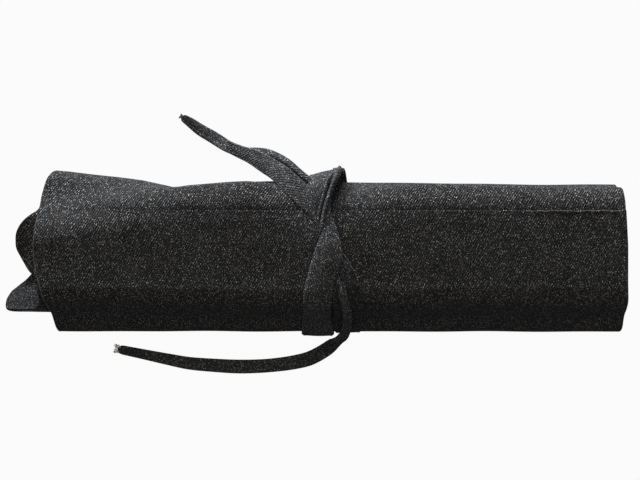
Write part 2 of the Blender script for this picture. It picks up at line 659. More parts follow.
# The strap falls flat under the opened cloth
# The band that crosses under turns dark in front of the knot, from this y on
SHADE_FROM_Y, SHADE_RAMP = -0.004, 0.012
# The strap's two bands lie on the roll at stations: place in panels from the base, left and right edge, lift
# off the cloth of each edge, and how far the middle is crowned. Over the knot they have free rows: left edge,
# right edge and crown.
OVER_BEHIND = [
    (0.495, 0.0208, 0.0386, 0.0010, 0.0010, 0), (0.25, 0.0204, 0.0366, 0.0010, 0.0010, 0),
    (0.02, 0.0200, 0.0330, 0.0010, 0.0010, 0), (-0.5, 0.0196, 0.0290, 0.0030, 0.0030, 0.0004),
    (-0.95, 0.0160, 0.0262, 0.0085, 0.0075, 0.0008),
]
OVER_KNOT = [
    ((0.0150, 0.0650, 0.0590), (0.0232, 0.0660, 0.0585), 0.0010),
    ((0.0125, 0.0540, 0.0730), (0.0165, 0.0540, 0.0725), 0.0008),
    ((0.0088, 0.0400, 0.0772), (0.0134, 0.0400, 0.0788), 0.0008),
    ((0.0078, 0.0294, 0.0792), (0.0160, 0.0294, 0.0802), 0.0012),
    ((0.0074, 0.0203, 0.0818), (0.0190, 0.0203, 0.0814), 0.0018),
    ((0.0054, 0.0150, 0.0826), (0.0205, 0.0150, 0.0822), 0.0024),
]
OVER_FRONT = [
    (3.61, 0.0034, 0.0215, 0.0044, 0.0050, 0.0028), (3.50, 0.0007, 0.0230, 0.0038, 0.0058, 0.0030),
    (3.40, -0.0012, 0.0228, 0.0034, 0.0066, 0.0028), (3.30, -0.0031, 0.0204, 0.0030, 0.0066, 0.0022),
    (3.17, -0.0053, 0.0172, 0.0026, 0.0062, 0.0016), (3.03, -0.0068, 0.0150, 0.0022, 0.0056, 0.0010),
    (2.85, -0.0075, 0.0142, 0.0020, 0.0044, 0.0008), (2.5, -0.0080, 0.0141, 0.0020, 0.0036, 0.0008),
    (2.0, -0.0089, 0.0168, 0.0020, 0.0022, 0.0008), (1.5, -0.0089, 0.0164, 0.0020, 0.0020, 0.0004),
    (1.0, -0.0088, 0.0145, 0.0012, 0.0012, 0.0002), (0.75, -0.0080, 0.0148, 0.0010, 0.0010, 0),
    (0.505, -0.0060, 0.0152, 0.0010, 0.0010, 0),
]
UNDER_BEHIND = [
    (0.495, -0.0060, 0.0150, 0.0010, 0.0010, 0), (0.25, -0.0055, 0.0152, 0.0010, 0.0010, 0),
    (0.02, -0.0048, 0.0155, 0.0010, 0.0010, 0), (-0.5, -0.0046, 0.0162, 0.0024, 0.0026, 0.0004),
    (-0.95, -0.0038, 0.0172, 0.0028, 0.0056, 0.0006),
]
UNDER_KNOT = [
    ((-0.0022, 0.0596, 0.0592), (0.0154, 0.0654, 0.0614), 0.0014),
    ((-0.0046, 0.0548, 0.0680), (0.0130, 0.0570, 0.0690), 0.0020),
    ((-0.0058, 0.0462, 0.0722), (0.0092, 0.0440, 0.0722), 0.0024),
    ((-0.0047, 0.0355, 0.0738), (0.0070, 0.0355, 0.0734), 0.0024),
    ((-0.0017, 0.0302, 0.0748), (0.0064, 0.0294, 0.0744), 0.0018),
    ((0.0022, 0.0252, 0.0764), (0.0064, 0.0246, 0.0762), 0.0010),
    ((0.0048, 0.0205, 0.0776), (0.0080, 0.0190, 0.0776), 0.0004),
]
UNDER_FRONT = [
    (3.60, 0.0085, 0.0155, 0.0014, 0.0014, 0.0002), (3.52, 0.0125, 0.0222, 0.0011, 0.0011, 0.0002),
    (3.45, 0.0150, 0.0262, 0.0011, 0.0011, 0.0004), (3.38, 0.0165, 0.0290, 0.0012, 0.0016, 0.0006),
    (3.25, 0.0162, 0.0338, 0.0012, 0.0018, 0.0008), (3.09, 0.0158, 0.0374, 0.0012, 0.0018, 0.0008),
    (2.9, 0.0152, 0.0388, 0.0012, 0.0020, 0.0006), (2.5, 0.0156, 0.0386, 0.0008, 0.0014, 0.0004),
    (2.0, 0.0175, 0.0378, 0.0002, -0.0004, 0.0002), (1.5, 0.0180, 0.0376, 0.0010, 0.0008, 0.0002),
    (1.0, 0.0185, 0.0378, 0.0010, 0.0010, 0.0002), (0.75, 0.0195, 0.0382, 0.0010, 0.0010, 0),
    (0.505, 0.0206, 0.0386, 0.0010, 0.0010, 0),
]
# Loose folds of the strap, in free rows
LOOSE_FOLDS = {
    # The rolled edge that stands up along the knot
    "strap_ridge": [
        ((0.0202, 0.0640, 0.0440), (0.0246, 0.0640, 0.0440), 0.0012),
        ((0.0184, 0.0668, 0.0640), (0.0226, 0.0668, 0.0640), 0.0030),
        ((0.0164, 0.0612, 0.0714), (0.0207, 0.0612, 0.0714), 0.0038),
        ((0.0128, 0.0534, 0.0752), (0.0172, 0.0534, 0.0752), 0.0042),
        ((0.0102, 0.0460, 0.0768), (0.0146, 0.0460, 0.0768), 0.0042),
        ((0.0080, 0.0392, 0.0780), (0.0126, 0.0392, 0.0780), 0.0042),
        ((0.0060, 0.0293, 0.0790), (0.0106, 0.0293, 0.0790), 0.0036),
        ((0.0052, 0.0233, 0.0794), (0.0090, 0.0233, 0.0792), 0.0024),
        ((0.0054, 0.0180, 0.0788), (0.0076, 0.0180, 0.0788), 0.0006),
    ],
    # The loop's folded edge beside it
    "strap_rim": [
        ((0.0140, 0.0650, 0.0560), (0.0166, 0.0650, 0.0560), 0.0008),
        ((0.0128, 0.0626, 0.0660), (0.0154, 0.0626, 0.0660), 0.0016),
        ((0.0098, 0.0575, 0.0722), (0.0126, 0.0575, 0.0722), 0.0020),
        ((0.0062, 0.0440, 0.0756), (0.0090, 0.0440, 0.0756), 0.0022),
        ((0.0040, 0.0355, 0.0766), (0.0067, 0.0355, 0.0766), 0.0022),
        ((0.0034, 0.0294, 0.0770), (0.0056, 0.0294, 0.0770), 0.0018),
        ((0.0040, 0.0240, 0.0772), (0.0054, 0.0240, 0.0772), 0.0008),
    ],
    # Root of the lower tail, which comes out from under the knot
    "strap_root": [
        ((0.0150, -0.0130, 0.0790), (0.0196, -0.0112, 0.0790), 0.0010),
        ((0.0164, -0.0182, 0.0806), (0.0212, -0.0162, 0.0804), 0.0020),
        ((0.0182, -0.0228, 0.0816), (0.0232, -0.0212, 0.0812), 0.0026),
        ((0.0198, -0.0280, 0.0821), (0.0248, -0.0272, 0.0817), 0.0024),
        ((0.0209, -0.0335, 0.0816), (0.0260, -0.0332, 0.0811), 0.0014),
    ],
    # The upper tail opens into two layers beside the knot
    "strap_fan_front": [
        ((0.0010, 0.0526, 0.0702), (0.0046, 0.0240, 0.0742), 0.0008),
        ((-0.0043, 0.0560, 0.0690), (-0.0012, 0.0295, 0.0744), 0.0010),
        ((-0.0190, 0.0694, 0.0632), (-0.0189, 0.0464, 0.0718), 0.0014),
        ((-0.0302, 0.0768, 0.0535), (-0.0307, 0.0594, 0.0600), 0.0016),
        ((-0.0416, 0.0843, 0.0420), (-0.0407, 0.0668, 0.0448), 0.0014),
        ((-0.0533, 0.0876, 0.0302), (-0.0516, 0.0746, 0.0328), 0.0012),
        ((-0.0610, 0.0906, 0.0234), (-0.0600, 0.0792, 0.0248), 0.0010),
        ((-0.0690, 0.0942, 0.0168), (-0.0684, 0.0838, 0.0172), 0.0006),
    ],
    "strap_fan_back": [
        ((0.0030, 0.0590, 0.0640), (0.0030, 0.0520, 0.0640), 0.0030),
        ((-0.0050, 0.0646, 0.0620), (-0.0050, 0.0570, 0.0620), 0.0034),
        ((-0.0191, 0.0768, 0.0555), (-0.0191, 0.0690, 0.0560), 0.0034),
        ((-0.0335, 0.0845, 0.0440), (-0.0330, 0.0775, 0.0448), 0.0030),
        ((-0.0425, 0.0866, 0.0362), (-0.0418, 0.0806, 0.0368), 0.0022),
        ((-0.0515, 0.0872, 0.0286), (-0.0505, 0.0830, 0.0292), 0.0008),
    ],
}

# Routes of the two tails, the same as in the part's source, with the width at each point
UPPER_TAIL = [
    (-0.0135, 0.053, 0.068, 0.0090), (-0.0195, 0.059, 0.0615, 0.0090), (-0.030, 0.0685, 0.051, 0.0090),
    (-0.0407, 0.0755, 0.040, 0.0090), (-0.0525, 0.081, 0.028, 0.0094), (-0.067, 0.0878, 0.016, 0.0100),
    (-0.0815, 0.0972, 0.006, 0.0102), (-0.0928, 0.104, 0.0022, 0.0096), (-0.101, 0.110, 0.0016, 0.0080),
    (-0.108, 0.1146, 0.0015, 0.0056),
]
LOWER_TAIL = [
    (0.0213, -0.0185, 0.0824, 0.0058), (0.0226, -0.028, 0.083, 0.0064),
    (0.0256, -0.0375, 0.0795, 0.0068), (0.0268, -0.0475, 0.068, 0.0072),
    (0.0258, -0.057, 0.052, 0.0078), (0.023, -0.064, 0.036, 0.0090), (0.0176, -0.0695, 0.015, 0.0104),
    (0.0108, -0.076, 0.0045, 0.0114), (-0.0022, -0.0834, 0.0016, 0.0118),
    (-0.0152, -0.0868, 0.0015, 0.0116), (-0.0372, -0.0896, 0.0015, 0.0112),
    (-0.0602, -0.0904, 0.0015, 0.0114), (-0.0812, -0.0894, 0.0015, 0.0110),
    (-0.1022, -0.0876, 0.0015, 0.0104), (-0.1172, -0.0848, 0.0015, 0.0096),
    (-0.1382, -0.0805, 0.0015, 0.0084), (-0.1602, -0.076, 0.0015, 0.0074),
]
TAIL_LAID_HEIGHT = 0.005
TAIL_FALL_HEIGHT = 0.025
TAIL_STEP = 0.0018


def spline(values, knots, at):
    """Smooth curve through values at knots."""
    values = np.asarray(values, float)
    gaps = np.diff(knots)
    slopes = np.diff(values, axis=0) / gaps[:, None]
    middle = (slopes[:-1] * gaps[1:, None] + slopes[1:] * gaps[:-1, None]) / (gaps[:-1] + gaps[1:])[:, None]
    tangents = np.concatenate([slopes[:1], middle, slopes[-1:]])
    i = np.clip(np.searchsorted(knots, at, side="right") - 1, 0, len(gaps) - 1)
    t = ((at - knots[i]) / gaps[i])[:, None]
    h = gaps[i][:, None]
    start, end = values[i], values[i + 1]
    return (
        (2 * t**3 - 3 * t**2 + 1) * start + (t**3 - 2 * t**2 + t) * h * tangents[i]
        + (3 * t**2 - 2 * t**3) * end + (t**3 - t**2) * h * tangents[i + 1]
    )


def lengths_along(points):
    return np.concatenate([[0.0], np.cumsum(np.linalg.norm(np.diff(points, axis=0), axis=1))])


def unit(vectors):
    return vectors / np.linalg.norm(vectors, axis=-1, keepdims=True)


def end_caps(rows, count):
    return [list(range(count))[::-1], list(range((rows - 1) * count, rows * count))]


# The strap's mesh: step along it, points across it, and in shares of half its width, the bead along its
# folded edges and the rounding outside of that
STRAP_STEP, STRAP_POINTS = 0.0016, 15
EDGE_BEAD, BEAD_PLACE, BEAD_WIDTH = 0.0004, 0.86, 0.09
ROUND_FROM, ROUND_WIDTH, ROUND_LEAST = 0.93, 0.07, 0.05
# Rough upward direction of the strap over the knot
KNOT_UP = (-0.2, 0.4, 1.0)


def ribbon(name, left, right, up, crown, thickness):
    """Folded strap between two edges. Its middle is crowned, and its folded edges are a little thicker."""
    middle = (left + right) / 2
    knots = np.sqrt(np.linalg.norm(np.diff(middle, axis=0), axis=1))
    knots = np.concatenate([[0.0], np.cumsum(knots)])
    count = max(12, int(lengths_along(middle)[-1] / STRAP_STEP))
    at = np.linspace(0, knots[-1], count)
    left, right = spline(left, knots, at), spline(right, knots, at)
    up = unit(spline(up, knots, at))
    crown = spline(np.asarray(crown)[:, None], knots, at)[:, 0]
    across_way = np.cross(np.gradient((left + right) / 2, axis=0), right - left)
    up = unit(across_way * np.sign(np.sum(across_way * up, axis=1, keepdims=True)))
    t = np.linspace(-1, 1, STRAP_POINTS)
    bead = EDGE_BEAD * np.exp(-(((np.abs(t) - BEAD_PLACE) / BEAD_WIDTH) ** 2))
    half = thickness / 2
    past_bead = ((np.abs(t) - ROUND_FROM) / ROUND_WIDTH).clip(0)
    round_off = np.sqrt(np.clip(1 - past_bead**2, ROUND_LEAST, 1))
    along = lengths_along((left + right) / 2)
    width = np.linalg.norm(right - left, axis=1)
    points, uvs = [], []
    for sign, order in ((1, slice(None)), (-1, slice(None, None, -1))):
        share = t[order]
        height = crown[:, None] * (1 - share[None, :] ** 2) + sign * (half + bead[order]) * round_off[order]
        row = (left + right)[:, None, :] / 2 + (right - left)[:, None, :] / 2 * share[None, :, None]
        points.append(row + up[:, None, :] * height[:, :, None])
        across_place = width[:, None] * share[None, :] / 2
        uvs.append(np.stack(np.broadcast_arrays(across_place, along[:, None]), axis=-1))
    points = np.concatenate(points, axis=1)
    uvs = np.concatenate(uvs, axis=1)
    sides = points.shape[1]
    faces = ring_faces(count, sides) + end_caps(count, sides)
    return outward(new_mesh_object(name, points.reshape(-1, 3), faces, uvs.reshape(-1, 2)))


def free_rows(rows):
    """Left edge, right edge, rough upward direction and crown of free rows."""
    left, right = (np.array([row[i] for row in rows]) for i in (0, 1))
    return left, right, np.tile(KNOT_UP, (len(rows), 1)), np.array([row[2] for row in rows])


def laid_rows(rolled, stations):
    """The same for stations on the cloth."""
    place, left_x, right_x, left_lift, right_lift, crown = np.array(stations).T
    s = rolled.place(place)
    left = rolled.point(left_x, s, -left_lift)
    right = rolled.point(right_x, s, -right_lift)
    _, _, inward_y, inward_z = rolled.section(s)
    return left, right, np.stack([np.zeros(len(s)), -inward_y, -inward_z], axis=1), crown


def band(rolled, name, behind, knot, front, thickness):
    """A band of the strap: up the back of the roll, through the knot and down the front."""
    parts = laid_rows(rolled, behind), free_rows(knot), laid_rows(rolled, front)
    return ribbon(name, *(np.concatenate(columns) for columns in zip(*parts)), thickness)


# Half of a tail's section: share across and share of the thickness. One edge is the fold, the other is open.
TAIL_SECTION = [
    (-1.0, 0.0), (-0.97, 0.45), (-0.86, 0.82), (-0.62, 0.96), (-0.40, 0.86), (-0.32, 0.72), (-0.24, 0.9),
    (0.1, 1.0), (0.5, 1.0), (0.82, 0.92), (0.96, 0.72), (1.0, 0.42), (0.96, 0.14), (0.7, 0.0),
]


def tail(name, route, thickness):
    """A free tail: the strap folded in half along its length. Gives the piece and its path."""
    route = np.array(route)
    knots = np.concatenate([[0.0], np.cumsum(np.sqrt(np.linalg.norm(np.diff(route[:, :3], axis=0), axis=1)))])
    count = int(lengths_along(route[:, :3])[-1] / TAIL_STEP)
    laid = spline(route, knots, np.linspace(0, knots[-1], count))
    path, width = laid[:, :3], laid[:, 3]
    along = unit(np.gradient(path, axis=0))
    lean = smooth((path[:, 2] - TAIL_LAID_HEIGHT) / (TAIL_FALL_HEIGHT - TAIL_LAID_HEIGHT))
    up = np.stack([np.zeros(count), np.sign(path[:, 1]) * lean, np.ones(count)], axis=1)
    up = unit(up - along * np.sum(up * along, axis=1, keepdims=True))
    side = np.cross(along, up)
    half = np.array(TAIL_SECTION)
    section = np.concatenate([half, (half * (1, -1))[-2:0:-1]])
    ends = np.ones(count)
    ends[[0, -1]] = 0.6
    to_tip = np.clip((lengths_along(path)[-1] - lengths_along(path)) / (0.5 * width[-1]), 0.06, 1.0)
    width = width * np.sqrt(1 - (1 - to_tip) ** 2)
    reach = section[None, :, 0] * (width / 2)[:, None]
    height = section[None, :, 1] * (thickness / 2 * ends)[:, None]
    points = path[:, None, :] + side[:, None, :] * reach[:, :, None] + up[:, None, :] * height[:, :, None]
    uvs = np.stack(np.broadcast_arrays(reach, lengths_along(path)[:, None]), axis=-1)
    sides = len(section)
    faces = ring_faces(count, sides) + end_caps(count, sides)
    piece = outward(new_mesh_object(name, points.reshape(-1, 3), faces, uvs.reshape(-1, 2)))
    return piece, path


# Rows of yarns in a frayed end, by height, and how far past the tail's end they start
TIP_ROWS = (-0.0004, 0.0002, 0.0008)
TIP_START = 0.0008
# Frayed end of each tail: colour, width of the end, longest yarn and spread of the yarns
TIP_FRAYS = {
    "tie_tail_upper": ("raw_brown", 0.0034, 0.0022, 0.35),
    "tie_tail_lower": ("raw", 0.0060, 0.0068, 0.42),
}


def tip_fray(name, path, colour, width, length, spread):
    """Loose yarns at the end of a tail."""
    along = unit(path[-1] - path[-4])
    side = np.cross(along, (0.0, 0.0, 1.0))
    lines = []
    for lift in TIP_ROWS:
        at = np.linspace(-0.5, 0.5, 10)[:, None] * width * side
        lines.append(path[-1] + along * TIP_START + at + (0.0, 0.0, lift))
    piece = threads(
        name, lines, colour, Pitch=width / 7, Length=length / 2, Radius=0.00035, Wobble=spread, Follow=0.0,
        Direction=tuple(along), Seed=11,
    )
    return piece


# The denim: slant of the twill, shape of its flecks, and how many flecks, slow patches and hairs a metre has
TWILL_SLANT = (0, 0, math.radians(30))
FLECK_SHAPE = (1.2, 0.8, 1)
FLECKS, PATCHES, HAIRS = 1250.0, 55.0, 700.0
# The wave texture turns through this many radians in one unit at scale 1
WAVE_TURN = 20


def denim_material(name, look, dark, light, ribbing):
    """Twill denim on the piece's UV map, in metres: slanted ribs, pale flecks of weft and slow mottling."""
    material = bpy.data.materials.new(name)
    material.use_nodes = True
    tree = material.node_tree
    cloth = add_node(tree, "ShaderNodeUVMap", uv_map="cloth").outputs["UV"]
    turned = add_node(tree, "ShaderNodeMapping", cloth, Rotation=TWILL_SLANT)
    rib_scale = 2 * math.pi / (WAVE_TURN * look.rib_pitch)
    wave = {"Scale": rib_scale, "Distortion": 1.1, "Detail": 2.0, "Detail Scale": 2.2}
    ribs = add_node(tree, "ShaderNodeTexWave", turned.outputs[0], bands_direction="X", **wave).outputs["Fac"]
    slow = add_node(tree, "ShaderNodeTexNoise", cloth, Scale=PATCHES, Detail=4.0, Roughness=0.6)
    mottle = calculate(tree, "MULTIPLY_ADD", ribs, ribbing, slow.outputs["Fac"])
    ease = calculate(tree, "SUBTRACT", mottle, 0.5 * ribbing - 0.025, clamp=True)
    ground = blend_values(tree, "RGBA", ease, dark, light)
    weft = add_node(tree, "ShaderNodeMapping", cloth, Rotation=TWILL_SLANT, Scale=FLECK_SHAPE)
    yarn = add_node(tree, "ShaderNodeTexVoronoi", weft.outputs[0], feature="F1", Scale=FLECKS)
    chance = add_node(tree, "ShaderNodeSeparateColor", yarn.outputs["Color"])
    spot = add_node(
        tree, "ShaderNodeMapRange", yarn.outputs["Distance"], **{"From Min": 0.46, "From Max": 0.14}
    )
    rare = calculate(tree, "POWER", chance.outputs["Red"], 2.4)
    specks = calculate(tree, "MULTIPLY", spot.outputs["Result"], rare)
    tint = blend_values(tree, "RGBA", chance.outputs["Green"], look.fleck, look.cool_fleck)
    flecked = blend_values(tree, "RGBA", specks, ground, tint)
    inside = add_node(tree, "ShaderNodeAttribute", attribute_name="inside")
    dim = calculate(tree, "MULTIPLY", inside.outputs["Fac"], look.inside)
    fuzz = add_node(tree, "ShaderNodeTexNoise", cloth, Scale=HAIRS, Detail=3.0, Roughness=0.6)
    height = calculate(tree, "MULTIPLY_ADD", ribs, 0.93 * ribbing, fuzz.outputs["Fac"])
    bump = add_node(tree, "ShaderNodeBump", Strength=1.0, Distance=0.0011, Height=height)
    shaded = blend_values(tree, "RGBA", dim, flecked, (0, 0, 0, 1))
    finish = {
        "Base Color": shaded, "Normal": bump.outputs["Normal"],
        "Roughness": 0.92, "Specular IOR Level": 0.04, "Sheen Weight": look.sheen, "Sheen Roughness": 0.45,
        "Sheen Tint": (0.80, 0.86, 1.0, 1.0),
    }
    for socket, source in finish.items():
        feed(tree, tree.nodes["Principled BSDF"].inputs[socket], source)
    return material


def cloth_material(slot):
    """The woven finish of a material slot, made once."""
    name = "woven_" + slot
    if name in bpy.data.materials:
        return bpy.data.materials[name]
    look = bpy.context.scene.knife_roll_look
    colours = {
        "denim": (look.dark, look.light, 0.75),
        "slot_denim": (look.slot_dark, look.slot_light, 0.75),
        "tie": (look.tie_dark, look.tie_light, 0.42),
    }
    return denim_material(name, look, *colours[slot])


def lay_flat(piece):
    """Presses a piece of the strap flat under the cloth as the roll opens."""
    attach(piece, "base")
    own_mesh(piece)


def finish_piece(piece, slot):
    piece.data.materials.clear()
    piece.data.materials.append(cloth_material(slot))


def length_property(name, description, default):
    return bpy.props.FloatProperty(
        name=name, description=description, default=default, unit="LENGTH", subtype="DISTANCE"
    )


def share_property(name, description, default):
    return bpy.props.FloatProperty(
        name=name, description=description, default=default, min=0.0, max=1.0, subtype="FACTOR"
    )


def power_property(name, description, default):
    return bpy.props.FloatProperty(name=name, description=description, default=default, unit="POWER")


def colour_property(name, description, default):
    return bpy.props.FloatVectorProperty(
        name=name, description=description, default=(*default, 1.0), size=4, subtype="COLOR", min=0.0, max=1.0
    )


class KnifeRollCloth(bpy.types.PropertyGroup):
    """Sizes of the rolled cloth."""

    thickness: length_property("Thickness", "Thickness of the sewn cloth", 0.0024)
    layer_gap: length_property("Layer gap", "Air between the flap and the layer below", 0.0004)
    outer_radius: length_property("Outer fold radius", "Rounding of the outer turn's folds", 0.020)
    top_radius: length_property("Top fold radius", "Rounding of the fold where the flap starts", 0.016)
    lap_radius: length_property("Lap fold radius", "Rounding of the fold under the flap's edge", 0.009)
    inner_radius: length_property("Inner fold radius", "Rounding of the inner turn's folds", 0.011)


class KnifeRollTie(bpy.types.PropertyGroup):
    """Sizes of the strap."""

    band_thickness: length_property("Band thickness", "Thickness of the strap round the roll", 0.0018)
    tail_thickness: length_property("Tail thickness", "Thickness of the folded tails", 0.0026)
    tail_width: length_property("Tail width", "Width of the folded tails", 0.0105)


class KnifeRollSewing(bpy.types.PropertyGroup):
    """Sizes of the stitches."""

    pitch: length_property("Pitch", "Distance from stitch to stitch", 0.0032)
    stitch: length_property("Stitch", "Length of a stitch", 0.0026)
    radius: length_property("Radius", "Half of the thread's thickness", 0.00032)
    proud: length_property("Proud", "Height of the thread's middle over the cloth", 0.0001)


class KnifeRollLook(bpy.types.PropertyGroup):
    """Colours and weave of the denim."""

    dark: colour_property("Dark yarn", "Shaded yarn of the outer cloth", (0.0048, 0.0045, 0.0043))
    light: colour_property("Light yarn", "Worn yarn of the outer cloth", (0.0275, 0.0265, 0.026))
    slot_dark: colour_property("Slot dark yarn", "Shaded yarn of the slots", (0.026, 0.025, 0.026))
    slot_light: colour_property("Slot light yarn", "Worn yarn of the slots", (0.072, 0.071, 0.073))
    tie_dark: colour_property("Tie dark yarn", "Shaded yarn of the strap", (0.0078, 0.0078, 0.0080))
    tie_light: colour_property("Tie light yarn", "Worn yarn of the strap", (0.040, 0.040, 0.041))
    fleck: colour_property("Weft fleck", "Pale weft that shows between the ribs", (0.53, 0.485, 0.43))
    cool_fleck: colour_property("Cool fleck", "Cooler weft", (0.43, 0.46, 0.50))
    thread: colour_property("Thread", "Sewing thread", (0.075, 0.072, 0.068))
    rim: colour_property("Rim yarn", "Worn yarn on the flap's edge and left end", (0.085, 0.083, 0.08))
    raw: colour_property("Raw yarn", "Frayed yarn on the lower tail's end", (0.52, 0.43, 0.37))
    raw_brown: colour_property("Raw brown yarn", "Frayed yarn on the upper tail's end", (0.10, 0.075, 0.06))
    rib_pitch: length_property("Rib pitch", "Distance between the twill ribs", 0.0017)
    inside: share_property("Inside", "How much darker the inside of the cloth is", 0.45)
    sheen: share_property("Sheen", "Soft fuzz on the cloth", 0.03)


class KnifeRollStage(bpy.types.PropertyGroup):
    """Camera, floor and light."""

    camera_place: bpy.props.FloatVectorProperty(
        name="Camera place", description="Where the camera looks down from", default=(0.00563, 0.01345, 1.0),
        unit="LENGTH", subtype="TRANSLATION",
    )
    lens: bpy.props.FloatProperty(name="Lens", description="Focal length in millimetres", default=68.46)
    key_power: power_property("Key light", "Power of the soft light behind the roll", 140.0)
    top_power: power_property("Top light", "Power of the wide light above", 22.0)
    fill_power: power_property("Fill light", "Power of the weak light in front", 0.25)
    sky: share_property("Sky", "Strength of the even light", 0.016)
    floor: colour_property("Floor", "Colour of the plain floor", (0.28, 0.28, 0.28))


class KNIFEROLL_OT_camera(bpy.types.Operator):
    """Camera straight above the roll"""

    bl_idname = "kniferoll.camera"
    bl_label = "Camera"

    def execute(self, context):
        stage = context.scene.knife_roll_stage
        data = bpy.data.cameras.new("camera")
        data.lens = stage.lens
        data.sensor_width = 36.0
        camera = bpy.data.objects.new("camera", data)
        camera.location = stage.camera_place
        context.scene.collection.objects.link(camera)
        context.scene.camera = camera
        return {"FINISHED"}


class KNIFEROLL_OT_tails(bpy.types.Operator):
    """Two free tails of the strap, folded along their length"""

    bl_idname = "kniferoll.tails"
    bl_label = "Tails"

    def execute(self, context):
        tie = context.scene.knife_roll_tie
        for node, route in (("tie_tail_upper", UPPER_TAIL), ("tie_tail_lower", LOWER_TAIL)):
            piece, path = tail(node.replace("tie_", "strap_"), route, tie.tail_thickness)
            finish_piece(piece, "tie")
            fray = tip_fray(node.replace("tie_tail", "fray"), path, *TIP_FRAYS[node])
            for part in (piece, fray):
                lay_flat(part)
            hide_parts(node)
        return {"FINISHED"}


class KNIFEROLL_OT_shell(bpy.types.Operator):
    """Outer cloth, in strips that bend at their folds"""

    bl_idname = "kniferoll.shell"
    bl_label = "Outer cloth"

    def execute(self, context):
        rolled = RolledCloth(context.scene.knife_roll_cloth)
        depths = 0.0, rolled.thickness
        for fold, name, low, high in strips(rolled, len(FOLD_JOINTS), 0.0, rolled.length):
            free = fold == 0, fold == TOP_FOLD
            piece = cloth_strip(rolled, "cloth_" + name, low, high, rolled.ends, depths, free)
            finish_piece(piece, "denim")
            cross_fold(piece)
            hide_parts(*strip_nodes(fold, "shell_panel"))
        return {"FINISHED"}


class KNIFEROLL_OT_slots(bpy.types.Operator):
    """Knife slots sewn to the inside"""

    bl_idname = "kniferoll.slots"
    bl_label = "Knife slots"

    def execute(self, context):
        rolled = RolledCloth(context.scene.knife_roll_cloth)
        low_corner, high_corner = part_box("knife_slot_1")
        outer = rolled.thickness + SLOT_GAP
        depths = outer, outer + SLOT_THICKNESS

        def ends(rows):
            return np.full(len(rows), low_corner[0]), np.full(len(rows), high_corner[0])

        last_edge = rolled.starts[FRONT_LOWER] - SLOT_OUTER_INSET
        for fold, name, low, high in strips(rolled, BASE, SLOT_INNER_INSET, last_edge):
            free = fold == 0, fold == BASE - 1
            piece = cloth_strip(rolled, "slot_" + name, low, high, ends, depths, free, SLOT_COLUMNS)
            finish_piece(piece, "slot_denim")
            cross_fold(piece)
            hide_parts(*strip_nodes(fold, "knife_slot"))
        return {"FINISHED"}


class KNIFEROLL_OT_stitches(bpy.types.Operator):
    """Hem stitches at both ends and the seams of the slots"""

    bl_idname = "kniferoll.stitches"
    bl_label = "Stitches"

    def execute(self, context):
        rolled = RolledCloth(context.scene.knife_roll_cloth)
        sewing = context.scene.knife_roll_sewing
        low_corner, high_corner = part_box("knife_slot_1")
        seam_depth = rolled.thickness + SLOT_GAP + SLOT_THICKNESS + sewing.proud
        last_edge = rolled.length - STITCH_EDGE_INSET
        for fold, name, low, high in strips(rolled, len(FOLD_JOINTS), STITCH_EDGE_INSET, last_edge):
            low, high = low + STITCH_JOIN_INSET, high - STITCH_JOIN_INSET
            s = np.linspace(low, high, int((high - low) / STITCH_LINE_STEP))
            left, right = rolled.ends(s)
            lines = [rolled.point(x, s, -sewing.proud) for x in (left + HEM, right - HEM)]
            if fold < BASE:
                x = np.linspace(low_corner[0] + SEAM_INSETS[0], high_corner[0] - SEAM_INSETS[1], SEAM_POINTS)
                lines.append(rolled.point(x, np.full(len(x), rolled.folds[fold]), seam_depth))
                on_slot = s[s < rolled.starts[FRONT_LOWER] - MOUTH_END_INSET]
                lines.append(rolled.point(high_corner[0] - SLOT_MOUTH_HEM, on_slot, seam_depth))
            sewn_threads(
                rolled, fold, "stitches_" + name, lines, "thread", Pitch=sewing.pitch,
                Length=sewing.stitch / 2, Radius=sewing.radius, Wobble=0.06, Follow=1.0, Seed=fold,
            )
        return {"FINISHED"}


class KNIFEROLL_OT_frays(bpy.types.Operator):
    """Frayed yarn along the flap's free edge and its left end"""

    bl_idname = "kniferoll.frays"
    bl_label = "Frays"

    def execute(self, context):
        rolled = RolledCloth(context.scene.knife_roll_cloth)
        x = np.linspace(FRAY_START, rolled.right - FRAY_RIGHT_INSET, FRAY_POINTS)
        wave = 0.00035 * np.sin(x * 210) + 0.0003 * np.sin(x * 517 + 1)
        line = rolled.point(x, np.full(len(x), rolled.length - FRAY_EDGE_INSET) + wave, -FRAY_LIFT)
        sewn_threads(
            rolled, TOP_FOLD, "flap_fray", [line], "rim", Pitch=0.0011, Length=0.0016, Radius=0.00022,
            Wobble=0.22, Follow=1.0, Seed=5,
        )
        middle = 0.5 * (rolled.starts[FRONT_UPPER] + rolled.starts[FLAP])
        spans = {
            FRONT_FOLD: (rolled.folds[FRONT_FOLD] - WORN_BEFORE_FOLD, middle),
            TOP_FOLD: (middle, rolled.length - WORN_EDGE_INSET),
        }
        for fold, span in spans.items():
            s = np.linspace(*span, WORN_POINTS)
            left, _ = rolled.ends(s)
            line = rolled.point(left + layer_step(rolled, s) + WORN_END_INSET, s, WORN_DEPTH)
            sewn_threads(
                rolled, fold, "worn_" + strip_name(fold), [line], "rim", Pitch=0.0012, Length=0.0010,
                Radius=0.0003, Wobble=0.25, Follow=1.0, Seed=fold,
            )
        return {"FINISHED"}


